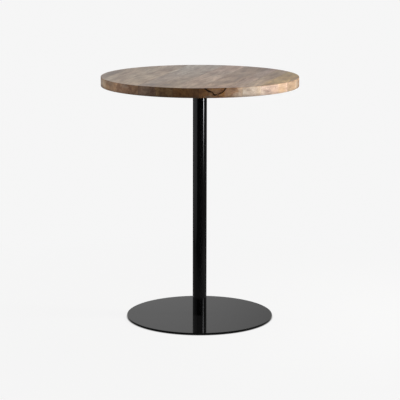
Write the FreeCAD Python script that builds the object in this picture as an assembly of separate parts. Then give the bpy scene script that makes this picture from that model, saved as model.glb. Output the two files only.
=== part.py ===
# Round bar table: a timber top of boards glued edge to edge, on a pedestal of a steel tube and a flat
# round base plate. It comes apart into three: the top, the column with its fixing plate, and the base.
# The floor is at z = 0, the table's axis is Z, and its front is the side towards -Y.
# Sizes are in millimetres and angles in degrees.
import FreeCAD
import Part
import math
import os

# Driving dimensions
table_height = 1000.0
top_diameter = 800.0
top_thickness = 38.0
fixing_plate_diameter = 280.0
fixing_plate_thickness = 6.0
column_diameter = 57.0
column_wall = 2.5
base_diameter = 600.0
base_thickness = 8.0
pad_thickness = 1.5

# Table top: the joints lie at shares of the top's radius, across boards that lean from front to back
top_edge_chamfer = 1.2
grain_lean = 15.0
joint_shares = (-0.8625, -0.625, -0.37, -0.18, 0.0, 0.25, 0.4975, 0.63, 0.7775, 0.96)

# Threaded inserts let into the underside of the top
insert_count = 8
insert_diameter = 10.0
insert_length = 13.0
insert_flange_diameter = 13.0
insert_flange_thickness = 1.2
insert_hole_spare_depth = 1.5
insert_clearance = 0.05

# Bolts and washers that hold the fixing plate to the inserts
bolt_diameter = 6.0
bolt_length = 20.0
bolt_head_across_flats = 10.0
bolt_head_height = 4.0
bolt_tip_chamfer = 0.8
bolt_head_corner_cut = 0.6
bolt_to_plate_edge = 20.0
washer_diameter = 18.0
washer_thickness = 1.6
washer_clearance = 0.2

# Fixing plate, with slots that let the timber shrink and swell
slot_clearance = 0.5
slot_travel = 5.0
fixing_plate_edge_radius = 0.8

# Weld between the column and the fixing plate
top_weld_leg = 4.0
top_weld_crown = 0.5
weld_gap = 0.05

# Plug welded into the foot of the column
plug_thickness = 14.0
plug_clearance = 0.05
foot_weld_leg = 3.0

# Countersunk socket screws that hold the base plate to the plug
base_screw_count = 4
base_screw_diameter = 8.0
base_screw_length = 20.0
base_screw_head_diameter = 16.0
base_screw_recess = 0.3
base_screw_tip_chamfer = 1.0
base_screw_socket_across_flats = 5.0
base_screw_socket_depth = 3.0
base_screw_circle_share = 0.62
base_hole_clearance = 0.25
countersink_clearance = 0.1

# Base plate and the pads stuck under it
base_edge_radius = 1.0
pad_count = 6
pad_diameter = 30.0
pad_edge_radius = 0.4
pad_inset = 30.0

# Allowances shared by every piece
thread_clearance = 0.05
cut_overrun = 1.0

# Levels, worked up from the floor and down from the top
base_underside = pad_thickness
base_face = base_underside + base_thickness
top_underside = table_height - top_thickness
fixing_plate_underside = top_underside - fixing_plate_thickness

# Radii and circles that several pieces share
top_radius = top_diameter / 2
base_radius = base_diameter / 2
column_radius = column_diameter / 2
column_bore_radius = column_radius - column_wall
plug_radius = column_bore_radius - plug_clearance
fixing_plate_radius = fixing_plate_diameter / 2
bolt_circle_radius = fixing_plate_radius - bolt_to_plate_edge
base_screw_circle_radius = plug_radius * base_screw_circle_share
base_screw_head_underside = base_underside + base_screw_recess

vertical = FreeCAD.Vector(0, 0, 1)
full_turn = 360.0
front_angle = -90.0
hexagon_sides = 6


def cylinder(radius, bottom, top, x=0, y=0):
    return Part.makeCylinder(radius, top - bottom, FreeCAD.Vector(x, y, bottom))


def rounded_disc(radius, bottom, top, edge_radius):
    """A disc whose upper and lower arrises are both rounded."""
    disc = cylinder(radius, bottom, top)
    arrises = [edge for edge in disc.Edges if isinstance(edge.Curve, Part.Circle)]
    return disc.makeFillet(edge_radius, arrises)


def hexagon_prism(across_flats, bottom, top):
    corner_radius = across_flats / math.sqrt(3)
    corners = []
    for step in range(hexagon_sides + 1):
        angle = math.radians(step * full_turn / hexagon_sides)
        x = corner_radius * math.cos(angle)
        y = corner_radius * math.sin(angle)
        corners.append(FreeCAD.Vector(x, y, bottom))
    return Part.Face(Part.makePolygon(corners)).extrude(vertical * (top - bottom))


def revolved(points):
    """The solid that a closed outline of (radius, height) points makes as it turns about the table's axis."""
    corners = [FreeCAD.Vector(radius, 0, height) for radius, height in points]
    outline = Part.makePolygon(corners + corners[:1])
    return Part.Face(outline).revolve(FreeCAD.Vector(0, 0, 0), vertical, full_turn)


def on_circle(shape, radius, count, first_angle=0):
    """Copies of a shape made on the table's axis, set out evenly on a circle round it."""
    copies = []
    for step in range(count):
        copy = shape.copy()
        copy.translate(FreeCAD.Vector(radius, 0, 0))
        copy.rotate(FreeCAD.Vector(0, 0, 0), vertical, first_angle + step * full_turn / count)
        copies.append(copy)
    return copies


def cut_all(shape, tools):
    for tool in tools:
        shape = shape.cut(tool)
    return shape


# The first insert stands half a step off the boards' direction, which keeps the holes off the joints
bolt_first_angle = full_turn / insert_count / 2 - grain_lean


def insert_hole():
    hole = cylinder(
        insert_diameter / 2 + insert_clearance,
        top_underside - cut_overrun,
        top_underside + insert_length + insert_hole_spare_depth,
    )
    flange_seat = cylinder(
        insert_flange_diameter / 2 + insert_clearance,
        top_underside - cut_overrun,
        top_underside + insert_flange_thickness,
    )
    return hole.fuse(flange_seat)


def rim_point(across, end):
    """The point on the underside of the top's rim, at a place across the boards; end is 1 behind, -1 in front."""
    return FreeCAD.Vector(across, end * math.sqrt(top_radius**2 - across**2), top_underside)


def top_board(left, right):
    """The board between two glue joints, with ends sawn to the round of the top and their arrises eased."""
    middle = (left + right) / 2
    outline = [
        Part.Arc(rim_point(left, -1), rim_point(middle, -1), rim_point(right, -1)).toShape(),
        Part.Arc(rim_point(right, 1), rim_point(middle, 1), rim_point(left, 1)).toShape(),
    ]
    for joint in (left, right):
        if abs(joint) < top_radius:
            outline.append(Part.LineSegment(rim_point(joint, -1), rim_point(joint, 1)).toShape())
    board = Part.Face(Part.Wire(Part.__sortEdges__(outline))).extrude(vertical * top_thickness)
    arrises = [edge for edge in board.Edges if isinstance(edge.Curve, Part.Circle)]
    board = board.makeChamfer(top_edge_chamfer, arrises)
    board.rotate(FreeCAD.Vector(0, 0, 0), vertical, -grain_lean)
    return cut_all(board, on_circle(insert_hole(), bolt_circle_radius, insert_count, bolt_first_angle))


def top_boards():
    joints = [share * top_radius for share in (-1, *joint_shares, 1)]
    return [top_board(left, right) for left, right in zip(joints, joints[1:])]


def threaded_inserts():
    body = cylinder(insert_diameter / 2, top_underside, top_underside + insert_length)
    flange = cylinder(insert_flange_diameter / 2, top_underside, top_underside + insert_flange_thickness)
    bore = cylinder(
        bolt_diameter / 2 + thread_clearance,
        top_underside - cut_overrun,
        top_underside + insert_length + cut_overrun,
    )
    insert = body.fuse(flange).cut(bore)
    return Part.makeCompound(on_circle(insert, bolt_circle_radius, insert_count, bolt_first_angle))


def fixing_plate():
    plate = rounded_disc(fixing_plate_radius, fixing_plate_underside, top_underside, fixing_plate_edge_radius)
    slot_radius = bolt_diameter / 2 + slot_clearance
    slot_bottom = fixing_plate_underside - cut_overrun
    slot_top = top_underside + cut_overrun
    inner_end = cylinder(slot_radius, slot_bottom, slot_top, -slot_travel / 2)
    outer_end = cylinder(slot_radius, slot_bottom, slot_top, slot_travel / 2)
    middle_corner = FreeCAD.Vector(-slot_travel / 2, -slot_radius, slot_bottom)
    middle = Part.makeBox(slot_travel, 2 * slot_radius, slot_top - slot_bottom, middle_corner)
    slot = inner_end.fuse(outer_end).fuse(middle)
    return cut_all(plate, on_circle(slot, bolt_circle_radius, insert_count, bolt_first_angle))


def fixing_washers():
    top = fixing_plate_underside
    bottom = top - washer_thickness
    ring = cylinder(washer_diameter / 2, bottom, top)
    bore = cylinder(bolt_diameter / 2 + washer_clearance, bottom - cut_overrun, top + cut_overrun)
    return Part.makeCompound(on_circle(ring.cut(bore), bolt_circle_radius, insert_count, bolt_first_angle))


def fixing_bolts():
    head_top = fixing_plate_underside - washer_thickness
    head_bottom = head_top - bolt_head_height
    corner_radius = bolt_head_across_flats / math.sqrt(3)
    corner_limit = revolved([
        (0, head_bottom),
        (corner_radius - bolt_head_corner_cut * math.sqrt(3), head_bottom),
        (corner_radius, head_bottom + bolt_head_corner_cut),
        (corner_radius, head_top),
        (0, head_top),
    ])
    head = hexagon_prism(bolt_head_across_flats, head_bottom, head_top).common(corner_limit)
    shank = revolved([
        (0, head_top),
        (bolt_diameter / 2, head_top),
        (bolt_diameter / 2, head_top + bolt_length - bolt_tip_chamfer),
        (bolt_diameter / 2 - bolt_tip_chamfer, head_top + bolt_length),
        (0, head_top + bolt_length),
    ])
    return Part.makeCompound(on_circle(head.fuse(shank), bolt_circle_radius, insert_count, bolt_first_angle))


def column_tube():
    outside = cylinder(column_radius, base_face, fixing_plate_underside)
    bore = cylinder(column_bore_radius, base_face - cut_overrun, fixing_plate_underside + cut_overrun)
    return outside.cut(bore)


def column_top_weld():
    """The crowned fillet of weld that runs round the column, under the fixing plate."""
    inner = column_radius + weld_gap
    plate_toe = FreeCAD.Vector(inner + top_weld_leg, 0, fixing_plate_underside)
    column_toe = FreeCAD.Vector(inner, 0, fixing_plate_underside - top_weld_leg)
    root = FreeCAD.Vector(inner, 0, fixing_plate_underside)
    outward = FreeCAD.Vector(1, 0, -1).normalize()
    crown = (plate_toe + column_toe) * 0.5 + outward * top_weld_crown
    face = Part.Wire([
        Part.LineSegment(root, plate_toe).toShape(),
        Part.Arc(plate_toe, crown, column_toe).toShape(),
        Part.LineSegment(column_toe, root).toShape(),
    ])
    return Part.Face(face).revolve(FreeCAD.Vector(0, 0, 0), vertical, full_turn)


def column_foot_plug():
    """The thick disc in the foot of the column, bevelled for its weld and tapped for the base screws."""
    plug = revolved([
        (0, base_face),
        (plug_radius - foot_weld_leg, base_face),
        (plug_radius, base_face + foot_weld_leg),
        (plug_radius, base_face + plug_thickness),
        (0, base_face + plug_thickness),
    ])
    tapped_hole = cylinder(
        base_screw_diameter / 2 + thread_clearance,
        base_face - cut_overrun,
        base_face + plug_thickness + cut_overrun,
    )
    return cut_all(plug, on_circle(tapped_hole, base_screw_circle_radius, base_screw_count))


def column_foot_weld():
    """The weld that fills the bevel between the plug and the column, ground flush with the tube's end."""
    outer = column_bore_radius - weld_gap
    inner = plug_radius - foot_weld_leg + weld_gap
    return revolved([
        (inner, base_face),
        (outer, base_face),
        (outer, base_face + outer - inner),
    ])


def base_plate():
    plate = rounded_disc(base_radius, base_underside, base_face, base_edge_radius)
    hole = cylinder(
        base_screw_diameter / 2 + base_hole_clearance,
        base_underside - cut_overrun,
        base_face + cut_overrun,
    )
    head_radius = base_screw_head_diameter / 2 + countersink_clearance
    neck_radius = base_screw_diameter / 2 + countersink_clearance
    below = base_screw_recess + cut_overrun
    countersink = revolved([
        (0, base_screw_head_underside - below),
        (head_radius, base_screw_head_underside - below),
        (head_radius, base_screw_head_underside),
        (neck_radius, base_screw_head_underside + head_radius - neck_radius),
        (0, base_screw_head_underside + head_radius - neck_radius),
    ])
    return cut_all(plate, on_circle(hole.fuse(countersink), base_screw_circle_radius, base_screw_count))


def base_screws():
    bottom = base_screw_head_underside
    head_radius = base_screw_head_diameter / 2
    shank_radius = base_screw_diameter / 2
    body = revolved([
        (0, bottom),
        (head_radius, bottom),
        (shank_radius, bottom + head_radius - shank_radius),
        (shank_radius, bottom + base_screw_length - base_screw_tip_chamfer),
        (shank_radius - base_screw_tip_chamfer, bottom + base_screw_length),
        (0, bottom + base_screw_length),
    ])
    socket = hexagon_prism(
        base_screw_socket_across_flats,
        bottom - cut_overrun,
        bottom + base_screw_socket_depth,
    )
    return Part.makeCompound(on_circle(body.cut(socket), base_screw_circle_radius, base_screw_count))


def floor_pads():
    """Rubber pads under the base plate, one of them at the front, each with its lower edge rounded."""
    pad = cylinder(pad_diameter / 2, 0, base_underside)
    circles = [edge for edge in pad.Edges if isinstance(edge.Curve, Part.Circle)]
    lower_edge = min(circles, key=lambda edge: edge.Curve.Center.z)
    pad = pad.makeFillet(pad_edge_radius, [lower_edge])
    return on_circle(pad, base_radius - pad_inset, pad_count, front_angle)


nodes = {
    "threaded_inserts": threaded_inserts(),
    "fixing_plate": fixing_plate(),
    "fixing_washers": fixing_washers(),
    "fixing_bolts": fixing_bolts(),
    "column_tube": column_tube(),
    "column_top_weld": column_top_weld(),
    "column_foot_plug": column_foot_plug(),
    "column_foot_weld": column_foot_weld(),
    "base_plate": base_plate(),
    "base_screws": base_screws(),
}
for number, board in enumerate(top_boards(), start=1):
    nodes[f"top_board_{number:02d}"] = board
for number, pad in enumerate(floor_pads(), start=1):
    nodes[f"floor_pad_{number}"] = pad

os.makedirs("parts", exist_ok=True)
for name, shape in nodes.items():
    shape.exportStep(f"parts/{name}.step")
    print(f"{name}: {len(shape.Solids)} solid(s), {shape.Volume:.0f} mm3")
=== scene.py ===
import math

import bmesh
import bpy
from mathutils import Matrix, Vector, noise


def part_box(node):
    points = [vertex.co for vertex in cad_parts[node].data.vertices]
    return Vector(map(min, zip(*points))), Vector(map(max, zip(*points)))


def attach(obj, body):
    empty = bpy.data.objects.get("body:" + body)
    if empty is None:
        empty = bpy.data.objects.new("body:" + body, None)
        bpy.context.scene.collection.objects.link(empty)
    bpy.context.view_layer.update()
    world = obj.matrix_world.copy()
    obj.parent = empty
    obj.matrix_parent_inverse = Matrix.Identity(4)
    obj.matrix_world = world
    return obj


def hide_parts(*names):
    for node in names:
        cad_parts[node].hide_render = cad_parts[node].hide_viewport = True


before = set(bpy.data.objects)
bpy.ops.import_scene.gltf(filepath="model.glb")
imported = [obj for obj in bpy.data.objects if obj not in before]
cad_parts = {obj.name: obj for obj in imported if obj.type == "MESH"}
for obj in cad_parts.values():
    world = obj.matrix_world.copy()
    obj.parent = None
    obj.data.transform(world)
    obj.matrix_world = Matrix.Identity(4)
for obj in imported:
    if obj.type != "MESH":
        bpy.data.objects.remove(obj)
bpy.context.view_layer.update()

# Camera: a long lens about 6.7 m in front of the table and 0.8 m above its top, looking down at the
# middle of it, and held a tenth of a degree out of level, as it was for the picture.
sensor_millimetres = 36.0
lens_millimetres = 149.4
camera_place = (-0.0012, -6.67, 1.791)
camera_look_down = 11.04
camera_lean = -0.1

bpy.context.scene.view_settings.view_transform = "Standard"
camera_data = bpy.data.cameras.new("camera")
camera_data.sensor_width = sensor_millimetres
camera_data.lens = lens_millimetres
camera = bpy.data.objects.new("camera", camera_data)
camera.location = camera_place
camera.rotation_euler = (math.radians(90 - camera_look_down), math.radians(camera_lean), 0)
bpy.context.scene.collection.objects.link(camera)
bpy.context.scene.camera = camera


# Studio: a white floor and backdrop with a strip of bright paper that shows in the gloss, a soft key
# lamp at the right and a weak fill at the left, both somewhat higher than the top, and two low
# upright cards of light that only the gloss shows.
class Signal:
    """A value on its way through a material's nodes: arithmetic on it adds the Math nodes."""

    def __init__(self, tree, socket=None):
        self.tree = tree
        self.socket = socket

    def node(self, kind, settings=(), inputs=(), output=0):
        """Adds a node, makes its settings, sets or links its sockets and hands on one output."""
        made = self.tree.nodes.new("ShaderNode" + kind)
        for name, value in dict(settings).items():
            setattr(made, name, value)
        for name, value in dict(inputs).items():
            if isinstance(value, Signal):
                self.tree.links.new(value.socket, made.inputs[name])
            else:
                made.inputs[name].default_value = value
        return Signal(self.tree, made.outputs[output] if made.outputs else None)

    def math(self, operation, *values):
        return self.node("Math", {"operation": operation}, enumerate(values))

    def __add__(self, other):
        return self.math("ADD", self, other)

    def __radd__(self, other):
        return self.math("ADD", other, self)

    def __sub__(self, other):
        return self.math("SUBTRACT", self, other)

    def __rsub__(self, other):
        return self.math("SUBTRACT", other, self)

    def __mul__(self, other):
        return self.math("MULTIPLY", self, other)

    def __rmul__(self, other):
        return self.math("MULTIPLY", other, self)

    def __truediv__(self, other):
        return self.math("DIVIDE", self, other)

    def __rtruediv__(self, other):
        return self.math("DIVIDE", other, self)

    def __pow__(self, other):
        return self.math("POWER", self, other)

    def __rpow__(self, other):
        return self.math("POWER", other, self)


def new_material(name):
    material = bpy.data.materials.new(name)
    material.use_nodes = True
    material.node_tree.nodes.clear()
    return material, Signal(material.node_tree)


def background_rays(start):
    """One for rays that show the background: from the camera, off a mirror or through glass."""
    seen = start.node("LightPath", output="Is Camera Ray")
    mirrored = start.node("LightPath", output="Is Glossy Ray")
    through = start.node("LightPath", output="Is Transmission Ray")
    seen_or_mirrored = start.math("MAXIMUM", seen, mirrored)
    return start.math("MAXIMUM", through, seen_or_mirrored)


def lit(level, colour):
    """A colour at some level of light, for an emission whose level varies over its surface."""
    return level.node("VectorMath", {"operation": "SCALE"}, {0: colour, "Scale": level})


def between(value, low, high):
    """How far a value is on its way from low to high, held between nothing and one."""
    share = (value - low) / (high - low)
    return share.math("MINIMUM", share.math("MAXIMUM", share, 0.0), 1.0)


# The floor: the camera sees all of it white, the gloss sees the paper half as bright and the rest nearly
# dark, and other rays meet a grey floor. Near the table it takes a faint shadow, and a thin dark line of
# contact that is painted shade: ambient occlusion dims its glow.
studio_white = (0.92, 0.92, 0.92)
paper_gloss = 0.52
dark_room = 0.055
paper_half_width = 1.3
paper_front, paper_back = -0.45, 0.1
paper_fade, paper_back_fade = 0.5, 0.3
floor_half = 30.0
floor_near, floor_far = 0.7, 1.6
near_glow = 0.942
contact_shade_reach = 0.006
shadow_shade = (0.04, 0.04, 0.04, 1)
floor_grey = (0.32, 0.32, 0.32, 1)

floor_material, start = new_material("studio_floor")
place = start.node("TexCoord", output="Object")
sideways = start.node("SeparateXYZ", inputs={0: place}, output="X")
sideways = sideways.math("ABSOLUTE", sideways)
backward = start.node("SeparateXYZ", inputs={0: place}, output="Y")
on_paper = between(sideways, paper_half_width + paper_fade, paper_half_width)
on_paper = on_paper * between(backward, paper_front - paper_fade, paper_front)
on_paper = on_paper * between(backward, paper_back + paper_back_fade, paper_back)
seen = start.node("LightPath", output="Is Camera Ray")
paper_level = start.math("MAXIMUM", seen, on_paper * (paper_gloss - dark_room) + dark_room)
from_middle = start.node("VectorMath", {"operation": "LENGTH"}, {0: place}, "Value")
# Painted shade: the glow dims where the table stands close above the floor.
openness = start.node("AmbientOcclusion", {"samples": 12}, {"Distance": contact_shade_reach}, "AO")
glow = start.node("Emission", inputs={"Color": lit(openness * near_glow * paper_level, studio_white)})
shaded = start.node("BsdfDiffuse", inputs={"Color": shadow_shade})
near_floor = start.node("AddShader", inputs={0: glow, 1: shaded})
far_floor = start.node("Emission", inputs={"Color": lit(paper_level, studio_white)})
nearness = between(from_middle, floor_far, floor_near)
white_floor = start.node("MixShader", inputs={0: nearness, 1: far_floor, 2: near_floor})
dim_floor = start.node("BsdfDiffuse", inputs={"Color": floor_grey})
floor_shader = start.node("MixShader", inputs={0: background_rays(start), 1: dim_floor, 2: white_floor})
start.node("OutputMaterial", inputs={"Surface": floor_shader})

floor_mesh = bpy.data.meshes.new("floor")
floor_corners = [(x * floor_half, y * floor_half, 0) for x, y in ((-1, -1), (1, -1), (1, 1), (-1, 1))]
floor_mesh.from_pydata(floor_corners, [], [(0, 1, 2, 3)])
floor_mesh.materials.append(floor_material)
floor = bpy.data.objects.new("floor", floor_mesh)
bpy.context.scene.collection.objects.link(floor)

# The world: the camera sees it white, and the gloss sees a white backdrop behind the table that gets
# darker towards the front and the right. It lights the table dimly, most from above and behind.
room_glow, least_glow = 0.32, 0.04
glow_from_behind, glow_from_above = 0.26, 0.34
backdrop_front, backdrop_behind = -0.8, 0.3
backdrop_left, backdrop_right = -0.03, 0.075
backdrop_right_fall = 0.60
backdrop_least = 0.12

world = bpy.data.worlds.new("studio")
bpy.context.scene.world = world
world.use_nodes = True
world.node_tree.nodes.clear()
start = Signal(world.node_tree)
direction = start.node("TexCoord", output="Generated")
backward = start.node("SeparateXYZ", inputs={0: direction}, output="Y")
upward = start.node("SeparateXYZ", inputs={0: direction}, output="Z")
glow_level = room_glow + backward * glow_from_behind + upward * glow_from_above
glow_level = start.math("MAXIMUM", glow_level, least_glow)
dim_world = start.node("Background", inputs={"Color": lit(glow_level, (1, 1, 1))})
seen = start.node("LightPath", output="Is Camera Ray")
rightward = start.node("SeparateXYZ", inputs={0: direction}, output="X")
to_right = between(rightward, backdrop_left, backdrop_right)
backdrop_level = 1 - to_right * to_right * backdrop_right_fall
backdrop_level = backdrop_level * between(backward, backdrop_front, backdrop_behind)
seen_level = start.math("MAXIMUM", seen, backdrop_level * (1 - backdrop_least) + backdrop_least)
white_world = start.node("Background", inputs={"Color": lit(seen_level, studio_white)})
world_shader = start.node("MixShader", inputs={0: background_rays(start), 1: dim_world, 2: white_world})
start.node("OutputWorld", inputs={"Surface": world_shader})


def soft_lamp(name, azimuth, distance, height, aim_height, width, tall, power, colour):
    """A soft lamp beside the table: azimuth is in degrees from the front towards +X."""
    data = bpy.data.lights.new(name, "AREA")
    data.shape = "RECTANGLE"
    data.size = width
    data.size_y = tall
    data.energy = power
    data.color = colour
    lamp = bpy.data.objects.new(name, data)
    x = distance * math.sin(math.radians(azimuth))
    y = -distance * math.cos(math.radians(azimuth))
    lamp.location = (x, y, height)
    drop = math.atan2(height - aim_height, distance)
    lamp.rotation_euler = (math.radians(90) - drop, 0, math.radians(azimuth))
    lamp.visible_camera = False
    bpy.context.scene.collection.objects.link(lamp)
    return lamp


card_colour = (0.96, 0.97, 1.0)


def gloss_card(name, azimuth, distance, low, high, width, power, fade):
    """A card of light that only gloss shows, dim at its foot and bright at its top."""
    middle = (low + high) / 2
    card = soft_lamp(name, azimuth, distance, middle, middle, width, high - low, power, card_colour)
    card.visible_diffuse = False
    card.data.use_nodes = True
    card.data.node_tree.nodes.clear()
    start = Signal(card.data.node_tree)
    spot = start.node("NewGeometry", output="Parametric")
    up = start.node("SeparateXYZ", inputs={0: spot}, output="Y")
    light = start.node("Emission", inputs={"Color": lit(up ** fade, (1, 1, 1))})
    start.node("OutputLight", inputs={"Surface": light})


soft_lamp(
    "key", azimuth=85, distance=2.6, height=1.45, aim_height=0.98, width=0.8, tall=0.8,
    power=142, colour=(1.0, 0.97, 0.92),
)
soft_lamp(
    "fill", azimuth=-100, distance=2.2, height=1.45, aim_height=0.98, width=1.0, tall=0.8,
    power=22, colour=(1.0, 0.98, 0.96),
)
gloss_card("bright_card", azimuth=64, distance=2.15, low=0.15, high=0.95, width=0.32, power=310, fade=2.4)
gloss_card("faint_card", azimuth=-76, distance=1.3, low=0.02, high=0.78, width=1.6, power=9, fade=0.4)


# Table top: eleven hardwood boards, glued edge to edge, sawn round and sanded, with their arrises
# eased by hand and a satin lacquer over all. They lean 15 degrees from the line of sight.
top_radius = 0.4
top_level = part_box("top_board_06")[1].z
top_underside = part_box("top_board_06")[0].z
grain_lean = math.radians(15)
board_joints = (
    -top_radius, -0.345, -0.25, -0.148, -0.072, 0.0, 0.1, 0.199, 0.252, 0.311, 0.384, top_radius,
)
arris_radius = 0.0015
arris_steps = 5
joint_bevel = 0.00015
flat_border = 0.002
rim_step = 0.004
wall_step = 0.02
merge_distance = 1e-7
board_crease = math.radians(32)

# A dark split that follows a growth ring shows on the front of board 7: each point of its route is in
# degrees round the rim from the front, and metres below the face, with the split's half width there.
split_board = 7
split_route = (
    (1.7, -0.0030, 0.0024), (3.1, 0.0035, 0.0019), (4.6, 0.0105, 0.0026), (5.9, 0.0138, 0.0020),
    (6.8, 0.0160, 0.0013), (7.3, 0.0222, 0.0020), (7.8, 0.0262, 0.0026), (9.1, 0.0242, 0.0015),
    (10.6, 0.0220, 0.0020), (12.2, 0.0165, 0.0023), (13.4, 0.0090, 0.0020), (14.5, -0.0030, 0.0028),
)
split_parts = 5
split_rim_step = 0.0005
split_height_step = 0.0005

# How deep the split is, and in half widths of it how far the groove, its full dark and its fading stain
# reach: the full dark is painted shade in the deep crack as well as a stain, and it fades as a stain round
# it. The upper arris at the front of the same board is darkened right across with painted shade.
split_depth = 0.0020
split_reach = 1.4
split_core, split_shade_and_stain_reach = 0.7, 1.8
split_arris_shade = 0.85
split_raggedness = 450
split_ragged_share = 0.45


def smooth_split():
    """The split's route as points on the smooth curve through the given ones."""
    route = [(math.radians(angle) * top_radius, down, half) for angle, down, half in split_route]
    smooth = []
    for before, start, end, after in zip([route[0]] + route, route, route[1:], route[2:] + [route[-1]]):
        for part in range(split_parts):
            share = part / split_parts
            point = []
            for a, b, c, d in zip(before, start, end, after):
                bend = 2 * a - 5 * b + 4 * c - d + share * (3 * (b - c) + d - a)
                point.append(b + share / 2 * (c - a + share * bend))
            smooth.append(tuple(point))
    return smooth + [route[-1]]


def distance_to_split(along, depth, route):
    """How far a place on the rim is from the middle line of the split, in half widths of the split."""
    nearest = math.inf
    for (x0, y0, half0), (x1, y1, half1) in zip(route, route[1:]):
        length2 = (x1 - x0) ** 2 + (y1 - y0) ** 2
        share = ((along - x0) * (x1 - x0) + (depth - y0) * (y1 - y0)) / length2
        share = min(max(share, 0), 1)
        away = math.hypot(along - x0 - share * (x1 - x0), depth - y0 - share * (y1 - y0))
        nearest = min(nearest, away / (half0 + share * (half1 - half0)))
    ragged = noise.noise((along * split_raggedness, depth * split_raggedness, 0))
    return nearest * (1 + split_ragged_share * ragged)


def board_levels(height_step):
    """The rings from underside to face: how high each is, and how far in its rim and its joints are."""
    quarter = [math.radians(90) * step / arris_steps for step in range(arris_steps + 1)]
    lower = [(arris_radius * (1 - math.cos(turn)), arris_radius * (1 - math.sin(turn))) for turn in quarter]
    lower.insert(0, (0.0, arris_radius + flat_border))
    levels = [(rise, inset, max(joint_bevel - rise, 0)) for rise, inset in lower]
    thickness = top_level - top_underside
    middle = thickness - 2 * arris_radius
    steps = max(2, round(middle / height_step))
    walls = [(arris_radius + middle * step / steps, 0.0, 0.0) for step in range(1, steps)]
    upper = [(thickness - rise, inset, bevel) for rise, inset, bevel in reversed(levels)]
    return levels + walls + upper


def top_board(name, left, right, has_split):
    """One board: rings of points round its outline at each level, joined by faces and closed by strips."""
    left_is_joint = left > -top_radius
    right_is_joint = right < top_radius
    step = split_rim_step if has_split else rim_step
    arc = top_radius * (math.asin(right / top_radius) - math.asin(left / top_radius))
    columns = max(4, math.ceil(arc / step))
    mesh = bmesh.new()
    split_layer = mesh.verts.layers.float.new("split")
    route = smooth_split()
    rings = []
    for rise, rim_inset, joint_inset in board_levels(split_height_step if has_split else wall_step):
        radius = top_radius - rim_inset
        first = math.asin((left + joint_inset) / radius) if left_is_joint else -math.pi / 2
        last = math.asin((right - joint_inset) / radius) if right_is_joint else math.pi / 2
        ring = []
        for end in (-1, 1):
            for column in range(columns + 1):
                turn = first + (last - first) * column / columns
                inward = 0.0
                shade = 0.0
                if has_split and end < 0 and rim_inset < arris_radius + flat_border / 2:
                    depth = top_level - top_underside - rise
                    away = distance_to_split((turn - grain_lean) * top_radius, depth + rim_inset, route)
                    inward = split_depth * max(0.0, 1 - (away / split_reach) ** 2) ** 2
                    # Painted shade of the deep crack in its core, fading as a stain round it.
                    shade = min(1.0, max(0.0, (split_shade_and_stain_reach - away) / (split_shade_and_stain_reach - split_core)))
                    # Painted shade: the whole upper arris at the front of board 7 is darkened through the
                    # split layer.
                    if 0 < rim_inset < arris_radius + flat_border / 2 and depth < arris_radius:
                        shade = max(shade, split_arris_shade)
                across = (radius - inward) * math.sin(turn)
                along = end * (radius - inward) * math.cos(turn)
                x = across * math.cos(grain_lean) + along * math.sin(grain_lean)
                y = along * math.cos(grain_lean) - across * math.sin(grain_lean)
                vertex = mesh.verts.new((x, y, top_underside + rise))
                vertex[split_layer] = shade
                ring.append(vertex)
        rings.append((ring[: columns + 1], ring[columns + 1 :]))
    for (front, back), (front_up, back_up) in zip(rings, rings[1:]):
        for row, row_up in ((front, front_up), (back, back_up)):
            for column in range(columns):
                mesh.faces.new((row[column], row[column + 1], row_up[column + 1], row_up[column]))
        for side, is_joint in ((0, left_is_joint), (columns, right_is_joint)):
            if is_joint:
                mesh.faces.new((front[side], back[side], back_up[side], front_up[side]))
    for front, back in (rings[0], rings[-1]):
        for column in range(columns):
            mesh.faces.new((front[column], front[column + 1], back[column + 1], back[column]))
    bmesh.ops.remove_doubles(mesh, verts=mesh.verts, dist=merge_distance)
    bmesh.ops.recalc_face_normals(mesh, faces=mesh.faces)
    data = bpy.data.meshes.new(name)
    mesh.to_mesh(data)
    mesh.free()
    data.shade_smooth()
    data.set_sharp_from_angle(angle=board_crease)
    board = bpy.data.objects.new(name, data)
    bpy.context.scene.collection.objects.link(board)
    return board


def stretched_noise(place, scales, detail, output="Fac"):
    """Noise with its own number of waves per metre along each axis."""
    stretched = place.node("VectorMath", {"operation": "MULTIPLY"}, {0: place, 1: scales})
    return place.node("TexNoise", {}, {"Vector": stretched, "Scale": 1.0, "Detail": detail}, output)


def mixed(factor, colour, other, blend="MIX"):
    """The first colour where the factor is nothing, and the other, or their product, where it is one."""
    settings = {"data_type": "RGBA", "blend_type": blend, "clamp_factor": True}
    return factor.node("Mix", settings, {0: factor, 6: colour, 7: other}, 2)


# Each board's figure lies this many metres further along the tree than the last one's. The growth
# rings come in wider bands, where they lie closer together or further apart.
tree_shift = 1.7
rings_per_metre = 190
ring_sharpness = 2.2
bands_per_metre = 55
band_sway = 4

# Colours of the wood before each board's tint and of what darkens it, among them painted shade on the arris
# and low on the rim and the split's painted shade and stain, the height of the painted dark low edge of the
# rim, and the half width of a glue line
pale_wood = (0.448, 0.323, 0.219, 1)
dark_wood = (0.165, 0.098, 0.058, 1)
ring_brown = (0.130, 0.075, 0.042, 1)
stripe_brown = (0.100, 0.060, 0.045, 1)
fleck_brown = (0.095, 0.058, 0.040, 1)
cooler_cast = (0.92, 1.02, 1.06, 1)
pore_brown = (0.045, 0.026, 0.016, 1)
arris_shade = (0.080, 0.045, 0.025, 1)
low_edge_shade = (0.070, 0.042, 0.025, 1)
glue_brown = (0.060, 0.036, 0.022, 1)
split_shade_and_stain = (0.034, 0.014, 0.001, 1)
low_edge_shade_height = 0.013
glue_half_width = 0.0007

# The sawn rim has a tint of its own at the front end of each board. From far_end_start to far_end_full
# behind the middle it turns to the same tint kept between these two limits.
# At the far ends this clamp leaves out the painted highlight in the palest front rim tints.
far_end_start, far_end_full = 0.05, 0.25
darkest_far_end, palest_far_end = 0.60, 0.85

# A stain reaches past its half sizes where the streaks are pale and stops short where they are dark.
stain_reach = 1.35
stain_streaks = 0.7
stain_edge = 1.6


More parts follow.
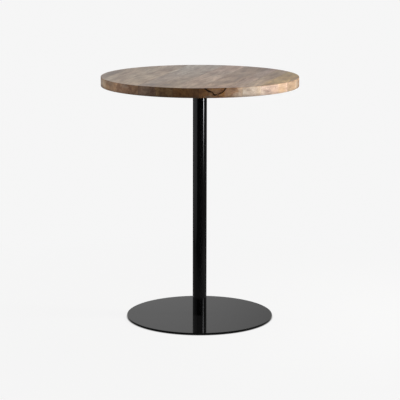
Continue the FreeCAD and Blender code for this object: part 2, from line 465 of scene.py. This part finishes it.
def board_material(name, number, joints, front_tint, back_tint, end_tint, pith, stains):
    """One board's timber: rings round its pith, fibres and pores along it, its stains and the lacquer."""
    material, start = new_material(name)
    place = start.node("TexCoord", output="Object")
    place = start.node("Mapping", {}, {"Vector": place, "Rotation": (0, 0, grain_lean)})
    across = start.node("SeparateXYZ", inputs={0: place}, output="X")
    along = start.node("SeparateXYZ", inputs={0: place}, output="Y")
    pith_across, pith_depth, pith_dip = pith
    middle = sum(joints) / 2
    timber = start.node("Mapping", {}, {
        "Vector": place,
        "Location": (-middle - pith_across, tree_shift * number, pith_depth - top_level),
        "Rotation": (math.radians(pith_dip), 0, 0),
    })

    for waves, sideways in (((7, 3.2, 7), 0.060), ((45, 7, 45), 0.007)):
        sway = stretched_noise(timber, waves, 2, "Color")
        sway = start.node("VectorMath", {"operation": "SUBTRACT"}, {0: sway, 1: (0.5, 0.5, 0.5)})
        sway = start.node("VectorMath", {"operation": "MULTIPLY"}, {0: sway, 1: (sideways, 0, sideways)})
        timber = start.node("VectorMath", {"operation": "ADD"}, {0: timber, 1: sway})
    outward = start.node("VectorMath", {"operation": "MULTIPLY"}, {0: timber, 1: (1, 0, 1)})
    radius = start.node("VectorMath", {"operation": "LENGTH"}, {0: outward}, "Value")
    band_inputs = {"W": radius * bands_per_metre + number, "Scale": 1.0, "Detail": 3.0}
    bands = start.node("TexNoise", {"noise_dimensions": "1D"}, band_inputs, "Fac")
    ring = radius * rings_per_metre + bands * band_sway
    ring = start.math("FRACT", ring) ** ring_sharpness

    clouds = stretched_noise(timber, (20, 6.5, 20), 3)
    streaks = stretched_noise(timber, (72, 9.5, 72), 4)
    fibres = stretched_noise(timber, (900, 14, 900), 2)
    flecks = (stretched_noise(timber, (130, 15, 130), 2) - 0.58) * 6
    flecks = start.math("MAXIMUM", flecks, 0.0)
    stripes = stretched_noise(timber, (34, 2.4, 34), 3)
    stripes = (stripes - 0.60) * 7
    stripes = start.math("MAXIMUM", stripes, 0.0)
    pore_place = start.node("VectorMath", {"operation": "MULTIPLY"}, {0: timber, 1: (480, 30, 480)})
    pore = start.node("TexVoronoi", {}, {"Vector": pore_place, "Scale": 1.0}, "Distance")
    pores = (0.24 - pore) * 9 * clouds
    pores = start.math("MAXIMUM", pores, 0.0)

    normal = start.node("NewGeometry", output="Normal")
    upright = start.node("SeparateXYZ", inputs={0: normal}, output="Z") ** 2
    wall = 1 - upright
    arris = upright * wall * 4
    height = start.node("SeparateXYZ", inputs={0: place}, output="Z")
    # Painted shade: the rim darkens towards its lower edge, where less light falls.
    low = between(height, top_underside + low_edge_shade_height, top_underside) * wall
    split = start.node("Attribute", {"attribute_name": "split"}, output="Fac")
    left_gap = across - joints[0]
    right_gap = joints[1] - across
    glue = 1 - start.math("MINIMUM", left_gap, right_gap) / glue_half_width
    glue = start.math("MAXIMUM", glue, 0.0)

    depth = 0.5 + (clouds - 0.5) * 1.75 + (streaks - 0.5) * 1.65
    depth = depth + (bands - 0.5) * 0.5 + (fibres - 0.5) * 0.6
    colour = mixed(depth, pale_wood, dark_wood)
    colour = mixed(ring * 0.38, colour, ring_brown)
    colour = mixed(stripes * 0.38, colour, stripe_brown)
    colour = mixed(flecks * 0.55, colour, fleck_brown)
    hue = (stretched_noise(place, (11, 4.5, 11), 2) - 0.5) * 3 + 0.5
    colour = mixed(hue, colour, cooler_cast, "MULTIPLY")
    # The tints carry the painted sheen and highlight named at board_timbers.
    tint = mixed(along / (2 * top_radius) + 0.5, front_tint + (1,), back_tint + (1,))
    far_end_tint = tuple(min(max(value, darkest_far_end), palest_far_end) for value in end_tint)
    to_far_end = between(along, far_end_start, far_end_full)
    rim_tint = mixed(to_far_end, end_tint + (1,), far_end_tint + (1,))
    tint = mixed(wall, tint, rim_tint)
    colour = start.node("VectorMath", {"operation": "MULTIPLY"}, {0: colour, 1: tint})
    for stain_across, stain_along, down, half_width, half_length, half_height, strength, shade in stains:
        stain_middle = (stain_across, stain_along, top_level - down)
        stain_place = start.node("VectorMath", {"operation": "SUBTRACT"}, {0: place, 1: stain_middle})
        scales = (1 / half_width, 1 / half_length, 1 / half_height)
        stain_place = start.node("VectorMath", {"operation": "MULTIPLY"}, {0: stain_place, 1: scales})
        reach = start.node("VectorMath", {"operation": "LENGTH"}, {0: stain_place}, "Value")
        stain = (stain_reach - reach - streaks * stain_streaks) * stain_edge
        stain = start.math("MAXIMUM", stain, 0.0)
        stain = start.math("MINIMUM", stain, 1.0) * strength
        colour = mixed(stain, colour, shade + (1,))
    colour = mixed(pores * 0.55, colour, pore_brown)
    # Painted shade: the arris is darkened as if shaded, most where its normal leans halfway between up and
    # sideways.
    colour = mixed(arris * 0.45, colour, arris_shade)
    # Painted shade low on the rim.
    colour = mixed(low * 0.55, colour, low_edge_shade)
    colour = mixed(glue * 0.45, colour, glue_brown)
    # The split's dark is painted shade in the deep crack as well as a stain round it.
    colour = mixed(split, colour, split_shade_and_stain)

    roughness = 0.46 + (clouds - 0.5) * 0.14 + pores * 0.18 + wall * 0.18 + arris * 0.25 + split * 0.4
    lacquer = 0.56 - wall * 0.46 - arris * 0.33 - split * 0.5
    relief = pores * -0.7 + fibres * 0.22 + streaks * 0.25 + ring * -0.10
    bump = start.node("Bump", {}, {"Strength": 0.35, "Distance": 0.00035, "Height": relief}, "Normal")
    shader = start.node("BsdfPrincipled", {}, {
        "Base Color": colour,
        "Roughness": roughness,
        "Specular IOR Level": 0.12,
        "Coat Weight": lacquer,
        "Coat Roughness": 0.46,
        "Normal": bump,
    })
    start.node("OutputMaterial", inputs={"Surface": shader})
    return material


# Marks in the wood, each with its half sizes, strength and shade. One on the face has its place across and
# along the boards, and one on the rim its degrees from the front and its depth below the face.
dark_stain = (0.075, 0.045, 0.035)
pale_stain = (0.500, 0.420, 0.330)
honey_stain = (0.420, 0.270, 0.110)
right_through = 0.2


def face_mark(across, along, half_width, half_length, strength, shade):
    return across, along, 0, half_width, half_length, right_through, strength, shade


def rim_mark(angle, down, half_width, half_height, strength, shade):
    turn = math.radians(angle) + grain_lean
    across, along = top_radius * math.sin(turn), -top_radius * math.cos(turn)
    return across, along, down, half_width, half_width, half_height, strength, shade


# Each board: its tint on the face at the front and at the back, and on the sawn rim, where its tree's pith
# lay (across from the middle, below the face, and how many degrees it dips), and its marks
# The pale bluish tints at the back of boards 4 and 5 are a painted sheen, and those on the rim of boards 9
# and 10 a painted highlight of the key lamp.
board_timbers = (
    ((0.75, 0.70, 0.70), (0.65, 0.60, 0.50), (0.85, 0.85, 0.95), (-0.050, 0.030, 0.8), (
        face_mark(-0.370, 0.020, 0.026, 0.130, 0.55, dark_stain),
        rim_mark(-77, 0.018, 0.024, 0.030, 0.25, pale_stain),
    )),
    ((1.30, 1.30, 1.30), (0.60, 0.55, 0.50), (1.20, 1.00, 0.80), (0.020, 0.090, -1.1), (
        rim_mark(-72, 0.018, 0.034, 0.030, 0.35, pale_stain),
        rim_mark(-64, 0.007, 0.055, 0.012, 0.40, dark_stain),
        rim_mark(-60, 0.018, 0.028, 0.025, 0.20, dark_stain),
    )),
    ((1.05, 1.00, 0.90), (0.80, 0.80, 0.85), (0.85, 0.65, 0.50), (0.045, 0.060, 0.9), (
        face_mark(-0.150, 0.140, 0.006, 0.090, 0.70, pale_stain),
        rim_mark(-47, 0.008, 0.030, 0.010, 0.20, pale_stain),
    )),
    ((0.80, 0.70, 0.65), (0.95, 1.15, 1.45), (0.85, 0.70, 0.65), (-0.030, 0.110, 1.3), (
        face_mark(-0.143, 0.140, 0.006, 0.090, 0.70, pale_stain),
        face_mark(-0.105, -0.320, 0.030, 0.035, 0.70, dark_stain),
        rim_mark(-36, 0.026, 0.020, 0.014, 0.25, dark_stain),
        rim_mark(-31, 0.012, 0.024, 0.020, 0.10, pale_stain),
    )),
    ((0.75, 0.65, 0.50), (0.85, 0.95, 1.20), (0.80, 0.65, 0.45), (0.010, 0.070, -0.7), (
        face_mark(-0.045, -0.318, 0.025, 0.030, 0.70, dark_stain),
        face_mark(-0.004, 0.048, 0.004, 0.045, 0.90, dark_stain),
    )),
    ((1.05, 1.00, 0.95), (1.00, 0.95, 1.10), (0.80, 0.55, 0.30), (-0.055, 0.080, 1.0), (
        rim_mark(-2, 0.020, 0.030, 0.040, 0.10, dark_stain),
        rim_mark(-14, 0.022, 0.016, 0.022, 0.25, dark_stain),
    )),
    ((1.05, 0.90, 0.80), (0.60, 0.55, 0.55), (1.10, 0.70, 0.30), (0.015, 0.050, -1.2), (
        face_mark(0.135, 0.190, 0.012, 0.060, 0.60, dark_stain),
        face_mark(0.155, 0.060, 0.010, 0.090, 0.50, dark_stain),
        face_mark(0.174, -0.080, 0.008, 0.060, 0.60, dark_stain),
        face_mark(0.198, -0.345, 0.010, 0.030, 0.20, pale_stain),
        rim_mark(0, 0.014, 0.018, 0.030, 0.30, dark_stain),
        rim_mark(2, 0.022, 0.024, 0.016, 0.10, dark_stain),
        rim_mark(5, 0.034, 0.020, 0.009, 0.30, pale_stain),
        rim_mark(8, 0.014, 0.035, 0.020, 0.15, pale_stain),
    )),
    ((1.15, 1.05, 1.00), (0.65, 0.60, 0.75), (1.25, 1.00, 0.80), (-0.040, 0.100, 0.8), (
        face_mark(0.200, -0.100, 0.004, 0.060, 0.60, dark_stain),
        face_mark(0.201, 0.300, 0.008, 0.030, 0.80, dark_stain),
        face_mark(0.208, -0.343, 0.009, 0.030, 0.25, honey_stain),
        face_mark(0.207, -0.343, 0.009, 0.030, 0.10, dark_stain),
        face_mark(0.246, -0.316, 0.012, 0.030, 0.35, pale_stain),
        rim_mark(18, 0.008, 0.024, 0.015, 0.15, dark_stain),
        rim_mark(21, 0.029, 0.024, 0.013, 0.45, pale_stain),
    )),
    ((1.20, 1.15, 1.10), (0.60, 0.55, 0.50), (1.35, 1.45, 1.60), (0.050, 0.075, -0.9), (
        face_mark(0.253, -0.070, 0.003, 0.050, 0.80, dark_stain),
        face_mark(0.309, -0.250, 0.002, 0.020, 0.50, pale_stain),
        face_mark(0.308, -0.140, 0.020, 0.200, 0.35, honey_stain),
        rim_mark(26, 0.026, 0.035, 0.014, 0.40, pale_stain),
    )),
    ((1.40, 1.15, 0.60), (0.75, 0.75, 0.45), (1.35, 1.30, 1.45), (0.000, 0.120, 1.1), (
        face_mark(0.370, -0.140, 0.016, 0.060, 0.40, honey_stain),
        rim_mark(37, 0.027, 0.028, 0.014, 0.40, pale_stain),
        rim_mark(55, 0.011, 0.035, 0.016, 0.35, dark_stain),
    )),
    ((1.05, 0.95, 0.70), (0.75, 0.70, 0.60), (0.85, 0.80, 0.75), (-0.020, 0.060, -1.0), (
        rim_mark(67, 0.005, 0.035, 0.008, 0.25, dark_stain),
        rim_mark(74, 0.022, 0.034, 0.022, 0.45, pale_stain),
    )),
)
for number, (front_tint, back_tint, end_tint, pith, stains) in enumerate(board_timbers, start=1):
    joints = board_joints[number - 1], board_joints[number]
    node = f"top_board_{number:02d}"
    board = top_board(f"hardwood_board_{number:02d}", joints[0], joints[1], number == split_board)
    timber = board_material(
        f"hardwood_{number:02d}", number, joints, front_tint, back_tint, end_tint, pith, stains
    )
    board.data.materials.append(timber)
    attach(board, "root")
    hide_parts(node)


# Steelwork: the column's drawn tube, and the fixing plate and the base plate, cut from flat plate. All
# are mild steel with a smooth gloss black powder coat, a touch dusty on the flat.
coat_black = (0.0035, 0.0035, 0.0038, 1)
coat_faded = (0.0065, 0.0065, 0.0069, 1)
dust_grey = (0.055, 0.052, 0.048, 1)


def powder_coat(name, gloss, dust):
    """Black powder coat with a faint orange peel, cloudy patches and specks of dust."""
    material, start = new_material(name)
    place = start.node("TexCoord", output="Object")
    peel = stretched_noise(place, (220, 220, 220), 2)
    patches = stretched_noise(place, (9, 9, 9), 3)
    specks = start.node("TexVoronoi", {}, {"Vector": place, "Scale": 160.0}, "Distance")
    specks = (0.09 - specks) * 30 * dust
    specks = start.math("MAXIMUM", specks, 0.0)
    colour = mixed(patches * 0.35, coat_black, coat_faded)
    colour = mixed(specks, colour, dust_grey)
    roughness = 0.05 + patches * 0.04 + specks * 0.3
    bump = start.node("Bump", {}, {"Strength": 0.10, "Distance": 0.00002, "Height": peel}, "Normal")
    shader = start.node("BsdfPrincipled", {}, {
        "Base Color": colour,
        "Roughness": roughness,
        "Specular IOR Level": gloss,
        "Normal": bump,
    })
    start.node("OutputMaterial", inputs={"Surface": shader})
    return material


column_coat = powder_coat("column_coat", gloss=0.10, dust=0.05)
plate_coat = powder_coat("plate_coat", gloss=0.055, dust=0.15)
for node, coat in (("column_tube", column_coat), ("fixing_plate", plate_coat), ("base_plate", plate_coat)):
    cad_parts[node].material_slots[0].material = coat


# Weld at the column's head: a steel fillet laid by hand in short overlapping pools, which joins the
# tube to the fixing plate and is powder coated with them.
weld_low, weld_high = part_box("column_top_weld")
column_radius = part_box("column_tube")[1].x
weld_leg = weld_high.z - weld_low.z
weld_gap = 0.00005
weld_crown = 0.0003
weld_ripples = 46
weld_ripple_height = 0.00035
weld_ripple_bow = 0.35
weld_lift_share = 0.7
weld_around = 460
weld_across = 9
weld_crease = math.radians(50)
root_radius = column_radius + weld_gap
weld_mesh = bmesh.new()
weld_rows = []
for step in range(weld_around):
    turn = 2 * math.pi * step / weld_around
    row = []
    for place in range(weld_across + 1):
        share = place / weld_across
        sag = math.sin(math.pi * share)
        pool = (step * weld_ripples / weld_around + weld_ripple_bow * sag) % 1.0
        lift = sag * (weld_crown + weld_ripple_height * (1 - pool) ** 2)
        out = weld_leg * share + lift * weld_lift_share
        drop = weld_leg * (1 - share) + lift * weld_lift_share
        radius = root_radius + out
        point = (radius * math.cos(turn), radius * math.sin(turn), weld_high.z - drop)
        row.append(weld_mesh.verts.new(point))
    root = (root_radius * math.cos(turn), root_radius * math.sin(turn), weld_high.z)
    row.append(weld_mesh.verts.new(root))
    weld_rows.append(row)
for row, next_row in zip(weld_rows, weld_rows[1:] + weld_rows[:1]):
    for place in range(len(row)):
        after = (place + 1) % len(row)
        weld_mesh.faces.new((row[place], next_row[place], next_row[after], row[after]))
bmesh.ops.recalc_face_normals(weld_mesh, faces=weld_mesh.faces)
weld_data = bpy.data.meshes.new("column_weld_bead")
weld_mesh.to_mesh(weld_data)
weld_mesh.free()
weld_data.shade_smooth()
weld_data.set_sharp_from_angle(angle=weld_crease)
weld_data.materials.append(column_coat)
weld_bead = bpy.data.objects.new("column_weld_bead", weld_data)
bpy.context.scene.collection.objects.link(weld_bead)
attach(weld_bead, "root")
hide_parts("column_top_weld")


# Fixings: threaded inserts, bolts with their washers, and the countersunk base screws, all of steel
# with bright zinc plating. The bolts stay loose enough in their slots for the timber to move.
zinc_grey = (0.60, 0.60, 0.57, 1)
zinc_blue = (0.50, 0.53, 0.58, 1)
zinc, start = new_material("bright_zinc")
place = start.node("TexCoord", output="Object")
bloom = stretched_noise(place, (140, 140, 140), 3)
grain = stretched_noise(place, (900, 900, 900), 2)
shader = start.node("BsdfPrincipled", {}, {
    "Base Color": mixed(bloom, zinc_grey, zinc_blue),
    "Metallic": 1.0,
    "Roughness": 0.24 + bloom * 0.16 + grain * 0.06,
    "Normal": start.node("Bump", {}, {"Strength": 0.15, "Distance": 0.00003, "Height": grain}, "Normal"),
})
start.node("OutputMaterial", inputs={"Surface": shader})
for node in ("threaded_inserts", "fixing_washers", "fixing_bolts", "base_screws"):
    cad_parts[node].material_slots[0].material = zinc


# Foot of the column: a turned steel plug and the weld that holds it, faced off flush and left bare,
# because the base plate covers them.
pale_steel = (0.34, 0.33, 0.32, 1)
brown_steel = (0.24, 0.22, 0.20, 1)
turning_marks = 9000
bare_steel, start = new_material("turned_steel")
place = start.node("TexCoord", output="Object")
flat_place = start.node("VectorMath", {"operation": "MULTIPLY"}, {0: place, 1: (1, 1, 0)})
turned = start.node("VectorMath", {"operation": "LENGTH"}, {0: flat_place}, "Value") * turning_marks
turned = start.math("SINE", turned)
mottle = stretched_noise(place, (60, 60, 60), 3)
shader = start.node("BsdfPrincipled", {}, {
    "Base Color": mixed(mottle, pale_steel, brown_steel),
    "Metallic": 1.0,
    "Roughness": 0.32 + mottle * 0.2,
    "Normal": start.node("Bump", {}, {"Strength": 0.2, "Distance": 0.00002, "Height": turned}, "Normal"),
})
start.node("OutputMaterial", inputs={"Surface": shader})
for node in ("column_foot_plug", "column_foot_weld"):
    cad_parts[node].material_slots[0].material = bare_steel


# Floor pads: six thin discs of matt black rubber, punched from sheet and stuck under the base plate,
# which keep the steel and its screws off the floor.
pad_count = 6
rubber_black = (0.018, 0.018, 0.018, 1)
rubber_grey = (0.034, 0.033, 0.031, 1)
pad_rubber, start = new_material("pad_rubber_matt")
place = start.node("TexCoord", output="Object")
grit = stretched_noise(place, (1500, 1500, 1500), 2)
bloom = stretched_noise(place, (90, 90, 90), 3)
shader = start.node("BsdfPrincipled", {}, {
    "Base Color": mixed(bloom, rubber_black, rubber_grey),
    "Roughness": 0.78 + bloom * 0.14,
    "Normal": start.node("Bump", {}, {"Strength": 0.4, "Distance": 0.00008, "Height": grit}, "Normal"),
})
start.node("OutputMaterial", inputs={"Surface": shader})
for number in range(1, pad_count + 1):
    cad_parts[f"floor_pad_{number}"].material_slots[0].material = pad_rubber
